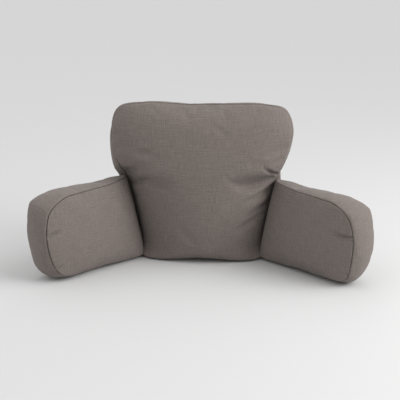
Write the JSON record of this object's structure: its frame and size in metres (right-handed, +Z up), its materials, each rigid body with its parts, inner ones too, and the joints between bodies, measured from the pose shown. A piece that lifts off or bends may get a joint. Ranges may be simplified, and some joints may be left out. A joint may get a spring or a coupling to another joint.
{
  "type": "stroller pillow",
  "caption": "Free-standing stroller pillow of plain linen: a stuffed, boxed back cushion, wider at its rounded top, with a boxed arm cushion sewn to each side, spread forward around the seat.",
  "frame": {"origin": "middle of the back cushion's flat base, on the surface the pillow stands on", "axes": "+X across the back towards the right arm as seen from the seat, +Y behind the back, +Z up; the seat is on the -Y side"},
  "size_m": [0.6141, 0.2518, 0.3],
  "materials": {
    "linen": "plain woven taupe linen, matt"
  },
  "bodies": {
    "root": {"back_cushion": "linen", "arm_left": "linen", "arm_right": "linen"}
  },
  "joints": []
}
